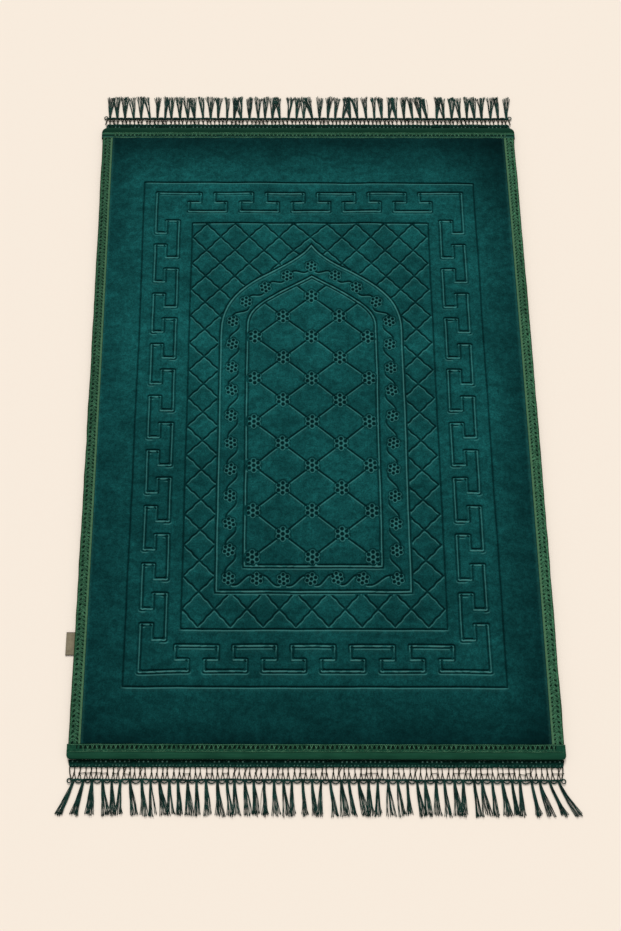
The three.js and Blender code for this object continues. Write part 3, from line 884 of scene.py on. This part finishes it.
def velvet_material():
    """Short teal pile: blotches where it lies another way, painted shade towards the tapes and the near
    end, and the pressed lines' painted shade and highlight.
    """
    s = Shader("velvet")
    x, y = s.from_middle()
    either_side = s.absolute(x)
    level = s.times(
        s.around(s.patches(5.5, 3.0, 0.6, 0.5), 0.34),
        s.around(s.patches(26.0, 4.0, 0.6, 0.8, (1.0, 1.7, 1.0), low=0.28), 0.54),
        s.around(s.patches(110.0, 4.0, 0.65, 0.3), 0.50),
        s.around(s.noise(400.0, 3.0, 0.75), 2.2),
        # painted shade, darker towards the near end
        s.span(y, 0.30, -0.50, 0.81, 0.56),
    )
    # Painted shade, darker towards the tapes where the velvet rolls down to them.
    for value, low, high, loss in (
        (x, 0.290, 0.385, 0.52),
        (x, -0.290, -0.390, 0.30),
        (y, -0.44, -0.565, 0.42),
        (y, 0.455, 0.560, 0.66),
        (y, 0.525, 0.556, 0.30),
        (y, -0.530, -0.560, 0.22),
        (y, -0.36, -0.44, 0.09),
    ):
        level = s.times(level, s.span(value, low, high, 1.0, 1.0 - loss))
    corner = s.times(s.span(x, 0.20, 0.33), s.span(y, 0.36, 0.48))
    hem = s.span(either_side, 0.3745, 0.3790)
    level = s.times(level, s.around(corner, -0.44, 0.0), s.around(hem, 0.5, 0.0))
    # The pressed lines' painted shade and highlight, from the mesh's shade attribute.
    known = s.node("Attribute")
    known.attribute_name = "shade"
    shade = known.outputs["Fac"]
    level = s.times(level, s.math("MINIMUM", shade, 1.6))
    # A pale painted highlight mixed in where that shade is above 1.
    light = s.times(s.scaled(shade, 0.85, -0.85, clamp=True), 0.6)
    rim = s.span(s.scaled(s.noise(260.0, 3.0, 0.6), 0.008, either_side), 0.3775, 0.3825)
    colour = s.paint(
        (0.0001, 0.0056, 0.0064),
        (level, (0.0062, 0.0775, 0.0775)),
        (light, (0.070, 0.215, 0.200)),
        (s.times(rim, 0.15), (0.030, 0.120, 0.095)),
    )
    pile = s.bump(s.noise(900.0, 2.0, 0.7), 0.35, 0.0004)
    normal = s.bump(s.noise(170.0, 4.0, 0.6), 0.25, 0.0012, Normal=pile)
    s.bsdf.inputs["Sheen Weight"].default_value = 0.10
    s.bsdf.inputs["Sheen Roughness"].default_value = 0.35
    s.bsdf.inputs["Sheen Tint"].default_value = (0.08, 0.75, 0.72, 1.0)
    return s.finish(colour, normal, 0.9, 0.02)


def side_colour(s, x, y, across, grain, some):
    """Two rows of dark stitch holes, a pale inner strip and a brown fold."""
    worn, speckle, weave = grain
    level = s.times(s.around(worn, 0.5), s.around(speckle, 1.3), s.around(weave, 0.6), 0.46)
    ragged = s.scaled(s.noise(180.0, 2.0), 0.0024, -0.0012)
    strip = s.span(s.math("ADD", across, ragged), 0.3843, 0.3828)
    holes = s.math(
        "MAXIMUM",
        s.slots(across, y, 0.3932, 0.0082, 0.0027, 0.7, 0.22),
        s.slots(across, y, 0.3852, 0.0065, 0.0021, -0.6, 0.20),
    )
    colour = s.paint(
        (0.003, 0.022, 0.011),
        # painted light: the right tape lighter than the left
        (s.times(level, s.span(x, -0.2, 0.2, 1.12, 1.72)), (0.044, 0.150, 0.078)),
        (s.times(strip, s.around(speckle, 0.5), s.around(weave, 0.5), 0.85), (0.066, 0.150, 0.078)),
        (s.times(s.span(across, 0.3972, 0.3984), 0.8), (0.016, 0.034, 0.012)),
        # painted shade: the stitch holes near-black
        (s.times(holes, some), (0.0006, 0.0075, 0.0040)),
    )
    return colour, holes


def end_colour(s, x, y, along, across, grain, some):
    """One row of dark stitch holes, a grainy band and a smooth roll."""
    worn, speckle, weave = grain
    streaks = s.noise(60.0, 4.0, 0.6, 0.0, (0.35, 14.0, 14.0))
    band = s.span(along, 0.5762, 0.5750)
    grainy = s.times(s.around(speckle, 0.9), s.around(weave, 0.5))
    smooth = s.times(s.around(streaks, 1.6), s.around(weave, 0.4), 0.85)
    level = s.math("ADD", s.times(band, grainy), s.times(s.math("SUBTRACT", 1.0, band), smooth))
    level = s.times(level, s.around(worn, 0.5), s.span(y, 0.2, -0.2, 0.15, 0.33))
    coats = [(level, (0.022, 0.118, 0.064))]
    far, soft = s.span(y, -0.2, 0.2), 0.0005
    for row, wide, coat, strength in (
        (0.5736, 0.0015, (0.030, 0.115, 0.066), 0.8),
        (0.5698, 0.0014, (0.001, 0.018, 0.012), 0.8),
        (0.5670, 0.0012, (0.012, 0.080, 0.060), 0.7),
        (0.5648, 0.0012, (0.002, 0.036, 0.035), 0.8),
    ):
        low, high = row - wide, row + wide
        line = s.times(s.span(along, low - soft, low + soft), s.span(along, high + soft, high - soft))
        coats.append((s.times(line, far, strength), coat))
    holes = s.times(
        s.slots(along, x, 0.5688, 0.0075, 0.0036, 0.12, 0.23),
        s.span(across, 0.3865, 0.3860),
        s.span(some, 0.4, 0.9, 0.75, 1.0),
        s.span(y, 0.2, -0.2, 0.3, 1.0),
    )
    # Painted shade: the stitch holes near-black.
    coats.append((holes, (0.0006, 0.0065, 0.0035)))
    coats.append((s.times(s.span(along, 0.5855, 0.5878), 0.6), (0.001, 0.008, 0.005)))
    return s.paint((0.001, 0.020, 0.011), *coats), holes


def tape_material():
    """Green stitched tape, worn and speckled, on the long sides and the short ends."""
    s = Shader("tape")
    x, y = s.from_middle()
    along = s.absolute(y)
    part = s.math("DIVIDE", y, HALF_LENGTH * MM)
    across = s.absolute(s.math("ADD", x, s.scaled(s.times(part, part), BOW * MM, -BOW * MM)))
    grain = (s.patches(14.0, 3.0, 0.6), s.patches(330.0, 3.0, 0.65, low=0.32), s.noise(900.0, 2.0, 0.6))
    some = s.span(s.noise(130.0, 2.0), 0.34, 0.52, 0.5, 1.0)
    side, side_holes = side_colour(s, x, y, across, grain, some)
    end, end_holes = end_colour(s, x, y, along, across, grain, some)
    on_end = s.span(along, 0.5635, 0.5640)
    side_holes = s.times(side_holes, s.math("SUBTRACT", 1.0, on_end))
    holes = s.math("MAXIMUM", side_holes, end_holes)
    height = s.math("SUBTRACT", s.times(grain[2], 0.3), holes)
    return s.finish(s.paint(side, (on_end, end)), s.bump(height, 0.7, 0.0005), 0.7, 0.04)


def cloth_material(name, dark, light, scale, rough):
    """Yarn: worn patches and a fine weave."""
    s = Shader(name)
    weave = s.noise(scale, 3.0, 0.6)
    level = s.scaled(weave, 1.1, s.scaled(s.patches(scale * 0.1, 3.0), 0.6, -0.35))
    return s.finish(s.paint(dark, (level, light)), s.bump(weave, 0.6, 0.0003), rough)


def knitted_material():
    """The heading: nearly black by the tape with pale specks, dull green outside."""
    s = Shader("trim_knit")
    x, y = s.from_middle()
    along = s.absolute(y)
    loops = s.patches(260.0, 3.0, 0.6, 0.0, (1.0, 1.6, 1.0))
    level = s.times(s.around(loops, 1.3), s.span(along, 0.5905, 0.5965, 0.25, 1.0), 0.8)
    specks = s.math(
        "MAXIMUM",
        s.slots(along, x, 0.5910, 0.0076, 0.0014, 0.0, 0.12),
        s.slots(along, x, 0.5968, 0.0054, 0.0012, 0.3, 0.10),
    )
    specks = s.times(specks, s.span(s.noise(90.0, 2.0), 0.40, 0.55))
    colour = s.paint(
        (0.0006, 0.0050, 0.0036), (level, (0.004, 0.030, 0.022)), (specks, (0.075, 0.160, 0.130))
    )
    return s.finish(colour, s.bump(loops, 0.6, 0.0006), 0.9, 0.02)


def tab_material():
    """Plain woven tape with a brown edge."""
    s = Shader("tab")
    x, y = s.from_middle()
    weave = s.noise(900.0, 2.0, 0.6, 0.0, (1.0, 0.35, 1.0))
    level = s.scaled(weave, 0.8, s.times(s.patches(120.0, 3.0), 0.3))
    edge = 0.0
    for value, inner, outer in (
        (x, TAB_LOW.x + 1.2, TAB_LOW.x + 0.4),
        (y, TAB_NEAR + 1.5, TAB_NEAR + 0.6),
        (y, TAB_FAR - 1.5, TAB_FAR - 0.6),
    ):
        edge = s.math("MAXIMUM", edge, s.span(value, inner * MM, outer * MM))
    colour = s.paint(
        (0.114, 0.092, 0.060), (level, (0.262, 0.228, 0.150)), (edge, (0.05, 0.032, 0.022))
    )
    return s.finish(colour, s.bump(weave, 0.5, 0.0003), 0.7, 0.2)


# ------------------------ the tapes
def fold_section(width, top):
    """A folded tape's section as (distance inward from the fold, height): outside, then in."""
    thick, r = TAPE_THICK, FOLD_RADIUS
    under = TAPE_TOP - thick
    high = top(r)
    points = [(width, top(width) - 0.25)]
    points += [(t, top(t)) for t in np.linspace(width - 0.6, r + 0.3, 13)]
    points += [(r * (1 - x), high - r * (1 - z)) for x, z in circle(np.radians((70, 45, 20)))]
    points += [(0.0, high - r - 0.4), (0.0, r)]
    points += [(r * (1 - x), r * (1 - z)) for x, z in circle(np.radians((25, 60)))]
    points += [(r, 0.0), (width, 0.0), (width, thick), (r, thick)]
    points += [(thick + 0.35, thick + 0.45), (thick, r), (thick, TAPE_TOP - r)]
    return points + [(thick + 0.35, under - 0.45), (r, under), (width, under)]


def side_tape(sign, side, material):
    """A long tape, puckered by its two rows of stitches."""
    rings = []
    for y in np.linspace(-CORE_Y, CORE_Y, int(2 * CORE_Y / 1.3) + 1):
        dips = [crest(y, pitch) for pitch in SIDE_PITCHES]
        uneven = 0.4 * wave_at(y, sign * 9.0, 90)

        def top(t):
            height = TAPE_TOP + 0.25 + 0.12 * uneven
            for row, dip in zip(SIDE_ROWS, dips):
                height -= 0.5 * bell(t - row, 1.5) * (0.45 + 0.55 * dip)
            return height

        def out(t):
            return sign * (HALF_WIDTH - t + uneven * max(0.0, 1 - t / 6))

        rings.append([(out(t), y, z) for t, z in fold_section(SIDE_TAPE, top)])
    return swept("side_tape_" + side, rings, material, sign > 0)


def end_tape(trim, material):
    """A tape over a short end: a stitched band and a padded roll outside it."""
    rings = []
    sign, round_by = trim["sign"], trim["corner"]
    span = HALF_WIDTH + 2.0
    xs = [-span + d for d in (0.0, 0.25, 0.8, 1.5, 2.4, 3.2, 4.2, 6.0, 8.0)]
    xs += list(np.arange(-span + 9.5, span - 9.4, 1.9)) + [-x for x in reversed(xs)]
    for x in xs:
        pucker = crest(x, END_PITCH)
        from_end = span - abs(x)
        short = max(0.0, round_by - from_end)
        inset = round_by - sqrt(max(0.0, round_by**2 - short**2))
        squeeze = sqrt(max(0.02, 1 - max(0.0, 1 - from_end / 2.5) ** 2))
        ripple = 0.3 * wave_at(x, sign * 5.0, 60, 3)

        def top(t):
            if t > PADDED:
                return TAPE_TOP - 0.1 - 0.6 * bell(t - END_ROW, 1.9) * (0.4 + 0.6 * pucker)
            swell = sin(pi * min(1.0, max(0.0, 1 - t / PADDED)) * 0.92)
            return TAPE_TOP - 0.8 + (1.5 + ripple) * swell

        section = fold_section(END_TAPE, top)
        if from_end < 1.2:
            section[-6:] = [(END_TAPE, z) for t, z in section[-6:]]
        ring = []
        for t, z in section:
            y = HALF_LENGTH - inset * (1 - t / END_TAPE) - t
            ring.append((x, sign * y, 3.4 + (z - 3.4) * squeeze))
        rings.append(ring)
    return swept("end_tape_" + trim["end"], rings, material, sign < 0)


def stitch(batch, start, end, radius, z):
    """One short thread that rises out of the tape and dips back."""
    t = np.linspace(0, 1, 5)
    (x0, y0), (x1, y1) = start, end
    lift = 0.4 * np.sin(pi * t)
    radius = radius * (1 - 0.35 * np.abs(2 * t - 1))
    batch.tube(x0 + t * (x1 - x0), y0 + t * (y1 - y0), z + lift, radius)


def side_stitches(sign, side, material):
    """Slanting threads between the holes of both rows, and crossed ones between the rows."""
    batch = Batch()
    long = HALF_LENGTH - END_TAPE - 4

    def at(t, y):
        return sign * (HALF_WIDTH - t), y + jitter(0.5)

    for row, pitch, slant in zip(SIDE_ROWS, SIDE_PITCHES, (1.3, -1.3)):
        count = floor(long / pitch)
        for i in range(-count, count):
            for y in ((i + 0.02) * pitch - 1.0, (i + 0.02) * pitch + 1.0):
                if RNG.uniform() < 0.85:
                    start, end = at(row - 2.4, y - slant), at(row + 2.2, y + slant)
                    stitch(batch, start, end, 0.62, TAPE_TOP + 0.1)
    for i in range(int(2 * long / CROSS_PITCH)):
        y = -long + CROSS_PITCH * i
        lean = 2.2 if i % 2 else -2.2
        stitch(batch, at(7.6, y - lean), at(12.0, y + lean), 0.45, TAPE_TOP + 0.25)
    return batch.make("side_stitches_" + side, material)


def end_stitches(trim, material):
    """Crossed threads between the holes of a short end's band, and its two edge lines."""
    batch = Batch()
    sign = trim["sign"]

    def at(x, t):
        return x + jitter(0.35), sign * (HALF_LENGTH - t + jitter(0.4))

    stitched, edge = 384, 398
    count = int(stitched / END_PITCH)
    for i in range(-count, count):
        x = (i + 1) * END_PITCH
        for side in (-1, 1):
            if RNG.uniform() < 0.88:
                start, end = at(x + side * 1.9, END_ROW + 2.8), at(x - side * 0.9, END_ROW - 3.4)
                stitch(batch, start, end, 0.6, TAPE_TOP + 0.05)
        for _ in range(3):
            dx, t, lean = jitter(3.8), RNG.uniform(12.8, 15.8), jitter(1)
            start, end = at(x + dx - 1.2, t - lean), at(x + dx + 1.2, t + lean)
            stitch(batch, start, end, 0.42, TAPE_TOP - 0.05)
    x = np.arange(-edge, edge + 0.1, 1.9)
    wave = 0.4 * np.sin(TURN * x / LOOP_PITCH) + 0.3 * np.sin(x / 9.0)
    for t, radius in ((23.2, 0.6), (12.6, 0.4)):
        batch.tube(x, sign * (HALF_LENGTH - t + wave), TAPE_TOP - 0.1, radius, 4)
    return batch.make("end_stitches_" + trim["end"], material)


# ------------------------ the end trims
def heading(trim, material):
    """A thick knitted strip with rows of small loops."""
    rings = []
    sign, deep = trim["sign"], trim["heading"]
    for x in range(-trim["wide"], trim["wide"] + 1):
        taper = max(0.0, abs(x) + 2 - trim["wide"]) / 2.0
        section = [(0.0, 0.0), (0.0, 1.6)]
        for t in np.linspace(0.4, deep - 0.9, 9):
            loops = crest(x + (t > 6) * LOOP_PITCH / 2, LOOP_PITCH) * crest(t, 3.7)
            section.append((t, 2.45 + 0.55 * loops + 0.2 * sin(pi * t / deep)))
        section += [(deep - 0.1, 1.7), (deep, 0.0)]
        wave = 0.35 * sin(pi * x / LOOP_PITCH) + 0.35 * wave_at(x, sign * 3.0, 40)
        ring = []
        for t, z in section:
            y = HEADING_START + t * (1 - 0.25 * taper) + (wave if t > 6 else 0)
            ring.append((x * (1 - 0.0019 * t / 6), sign * y, z * (1 - 0.35 * taper)))
        rings.append(ring)
    return swept("heading_" + trim["end"], rings, material, sign < 0)


def net(trim, material):
    """Threads from the heading to knots, and from each knot on two legs to the cord."""
    batch = Batch()
    sign, tall, thick = trim["sign"], trim["net"], trim["thread"]
    start = HEADING_START + trim["heading"]
    pitch = 2 * NET_HALF / trim["threads"]
    t = np.linspace(0, 1, 6)
    flare = 1 + 0.75 * (2 * t - 1) ** 4

    def strand(a, b, radius, bow=0.0):
        x = a[0] + t * (b[0] - a[0]) + bow * np.sin(pi * t)
        y = sign * (a[1] + t * (b[1] - a[1]))
        batch.tube(x, y, 1.15 + 0.5 * np.abs(2 * t - 1), radius * flare, 5, 0.8)

    for i in range(trim["threads"] + 1):
        x = -NET_HALF + pitch * i + jitter(1.1)
        y = start + tall * trim["knot"] + jitter(0.8)
        root = x + jitter(0.8)
        wide = thick * RNG.uniform(0.85, 1.3)
        strand((root, start - 1.0), (x, y), wide, jitter(0.5))
        if RNG.uniform() < 0.16:
            strand((root + pitch * 0.45, start - 0.6), (x, y), thick * 0.7)
        if RNG.uniform() < 0.3:
            strand((x, y), (x + pitch, y + jitter(1.5)), thick * 0.6)
        ends = np.array([-1, 0, 1])
        batch.tube(x + 0.9 * ends, sign * (y + 0.3 * ends), (1.4, 2.0, 1.4), wide * 1.7)
        for side in (-1, 1):
            foot = x + side * (pitch * 0.27 + jitter(0.6))
            strand((x, y), (foot, start + tall + 0.8), thick * 0.85, side * 0.5)
    y = sign * np.array([start - 1, start + tall / 2, start + tall + 1])
    for side in (-1, 1):
        batch.tube(side * np.array([396.0, 395.2, 392.5]), y, (1.6, 1.3, 1.6), 1.0, 6)
    return batch.make("net_" + trim["end"], material)


def tassel_roots(trim):
    """Where each tassel leaves the cord: evenly, but for a little jitter."""
    uneven = np.random.default_rng(21 + trim["sign"]).uniform(-1.9, 1.9, TRIM_COUNT)
    return np.linspace(-ROOT_SPAN / 2, ROOT_SPAN / 2, TRIM_COUNT) + uneven


def cord(trim, material):
    """A twisted cord with a loop of thread between each pair of tassels."""
    batch = Batch()
    sign = trim["sign"]
    middle = HEADING_START + trim["heading"] + trim["net"] + 1.5
    x = np.arange(-CORD_HALF, CORD_HALF + 0.01, 1.05)
    wave = 0.5 * wave_noise(x, x * 0, 50, 31)
    for phase in (0.0, pi):
        twist = pi * x / LOOP_PITCH + phase
        y = sign * (middle + wave) + 0.8 * np.cos(twist)
        batch.tube(x, y, 1.85 + 0.75 * np.sin(twist), 1.1, 6)
    roots = tassel_roots(trim)
    t = np.linspace(0, 1, 13)
    for x0, x1 in zip(roots + 1.8, roots[1:] - 1.8):
        low = trim["loop"] + jitter(0.5)
        y = sign * (middle + 0.6 + low * np.sin(pi * t) ** 0.7)
        batch.tube(x0 + (x1 - x0) * t, y, 1.3 + 0.3 * np.cos(TURN * t), 0.95)
    x, y = circle(np.linspace(0, TURN, 15)).T
    for side in (-1, 1):
        out = side * (CORD_HALF + 1.5 + 3.4 * x)
        batch.tube(out, sign * (middle + 1.5 + 3.2 * y), 1.6 + 0.4 * y, 0.9, 6)
    return batch.make("cord_" + trim["end"], material)


def tassel_lean(k, trim):
    """The same sideways lean as the part's own locks have."""
    from_end = min(k, TRIM_COUNT - 1 - k)
    if from_end < trim["splayed"]:
        outward = -1 if k < TRIM_COUNT / 2 else 1
        return outward * (1 - from_end / trim["splayed"]) * trim["splay"]
    return 2.4 * sin(2.1 * k + 0.7) + 2.0 * sin(0.9 * k + 0.5)


def tassels(trim, material):
    """Loose yarns gathered at the cord into a few locks each, combed out flat on the floor."""
    batch = Batch()
    sign = trim["sign"]
    root_y = HEADING_START + trim["heading"] + trim["net"] + 2.6
    t = np.linspace(0, 1, 9)
    ease = t**1.2
    swing = np.sin(pi * t)
    radius = np.interp(t, [0, 0.2, 0.9, 1.0], [0.60, 0.52, 0.46, 0.66])
    for k, x in enumerate(tassel_roots(trim)):
        lean = tassel_lean(k, trim) + jitter(1) * trim["stray"] + trim["drift"]
        open_by = RNG.uniform(4.2, 8.0) * trim["fan"]
        count = int(RNG.integers(4, 6))
        for u in (np.arange(count) + 0.5) / count * 2 - 1:
            tip = lean + u * open_by + jitter(1.6)
            length = trim["length"] + 5.0 + RNG.uniform(-3.8, 1.4)
            bow = jitter(2.2)
            fray = 0.5 + 0.8 * t + RNG.uniform(0.5, 1.1) * np.maximum(0, t - 0.78) * 3.2
            lock_x = x + u * 1.2 + (tip - u * 1.2) * ease + bow * swing * t
            for i in range(3):
                turn = pi * i / 1.5 + jitter(0.4)
                twist = turn + 1.1 * pi * t * (1 if k % 2 else -1)
                y = sign * (root_y + (length + RNG.uniform(-1.6, 0.6)) * t)
                z = 1.15 + 0.9 * (1 - t) * (1 - u * u) + 0.55 * fray * np.sin(twist)
                batch.tube(lock_x + fray * np.cos(twist), y, np.maximum(z, 0.6), radius)
        if RNG.uniform() < 0.3:
            stray = x + (lean + jitter(10)) * ease + jitter(4) * swing
            batch.tube(stray, sign * (root_y + trim["length"] * t), 0.8, 0.42, 4)
        s = np.linspace(-1, 1, 6)
        over = 1.0 + 1.9 * np.sqrt(np.maximum(0, 1 - s * s))
        for dy in (0.8, 1.9):
            batch.tube(x + 1.8 * s, sign * (root_y + dy), over, 0.55)
    return batch.make("tassels_" + trim["end"], material)


def side_tab(material):
    """A small blank tab of folded tape, with its fold outside."""
    rings = []
    root = TAB_HIGH.x + 0.2
    for y in np.linspace(TAB_NEAR, TAB_FAR, 20):
        at_edge = min(y - TAB_NEAR, TAB_FAR - y) < 0.8
        ring = []
        for t in np.linspace(0, 1, 15):
            seam = 0.1 if t > 0.93 or at_edge else 0.0
            ring.append((root + (TAB_LOW.x - root) * t, y, 1.15 + 0.5 * t * t + seam))
        ring.append((TAB_LOW.x - 0.25, y, 0.85))
        for t in np.linspace(1, 0, 15):
            ring.append((root + (TAB_LOW.x - root) * t, y, 0.05 + 0.35 * t * t))
        rings.append(ring)
    return swept("blank_tab", rings, material)


# ------------------------ the pieces
def placed(piece, slot, *nodes):
    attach(piece, "root")
    if nodes:
        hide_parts(*nodes)
    return piece


tape = tape_material()
thread = cloth_material("tape_thread", (0.008, 0.050, 0.026), (0.085, 0.230, 0.130), 900.0, 0.6)
yarn = cloth_material("trim_yarn", (0.0006, 0.0055, 0.0036), (0.012, 0.058, 0.047), 500.0, 0.7)
net_yarn = cloth_material("net_yarn", (0.0030, 0.0045, 0.0022), (0.026, 0.034, 0.018), 500.0, 0.7)
knitted = knitted_material()

velvet = placed(velvet_mesh(velvet_material()), "velvet", "pad")
for sign, side in ((-1, "left"), (1, "right")):
    placed(side_tape(sign, side, tape), "tape", "binding_" + side)
    placed(side_stitches(sign, side, thread), "tape")
for trim in (NEAR, FAR):
    placed(end_tape(trim, tape), "tape", "binding_" + trim["end"])
    placed(end_stitches(trim, thread), "tape")
    placed(heading(trim, knitted), "trim", "fringe_" + trim["end"])
    for make, material in ((net, net_yarn), (cord, yarn), (tassels, yarn)):
        placed(make(trim, material), "trim")
placed(side_tab(tab_material()), "tab", "side_tab")

# ------------------------ floor, light, camera
reach, floor_top = 6, -0.0002  # metres
floor_mesh = bpy.data.meshes.new("floor")
corners = [(x, y, floor_top) for x, y in rectangle(-reach, -reach, reach, reach)]
floor_mesh.from_pydata(corners, [], [(0, 1, 2, 3)])
floor_mesh.materials.append(Shader("floor").finish((0.874, 0.785, 0.693, 1.0), None, 0.9))
floor = linked("floor", floor_mesh)

sun = bpy.data.lights.new("window", "SUN")
sun.energy = 2.3
sun.angle = radians(22)
sun.color = (1.0, 0.985, 0.96)
window = linked("window", sun)
window.rotation_euler = Vector((-0.10, 1.0, 0.80)).to_track_quat("Z", "Y").to_euler()

world = bpy.data.worlds.new("studio")
world.use_nodes = True
world.node_tree.nodes["Background"].inputs["Color"].default_value = (1.0, 0.99, 0.97, 1.0)
world.node_tree.nodes["Background"].inputs["Strength"].default_value = 0.62
bpy.context.scene.world = world

PICTURE_HEIGHT, FOCAL_LENGTH, MIDDLE_SHIFT = 931.0, 925.0, 45.8  # in the picture's pixels
SENSOR = 36.0
camera = bpy.data.cameras.new("camera")
camera.sensor_width = SENSOR
camera.lens = FOCAL_LENGTH / PICTURE_HEIGHT * SENSOR
camera.shift_x = MIDDLE_SHIFT / PICTURE_HEIGHT
view = linked("camera", camera)
view.location = (-0.0818 + MID_X, -0.53853 + MID_Y, 1.56251)
view.rotation_euler = [radians(angle) for angle in (15.83, 0.0355, 0.0949)]
bpy.context.scene.camera = view
bpy.context.scene.view_settings.view_transform = "Standard"
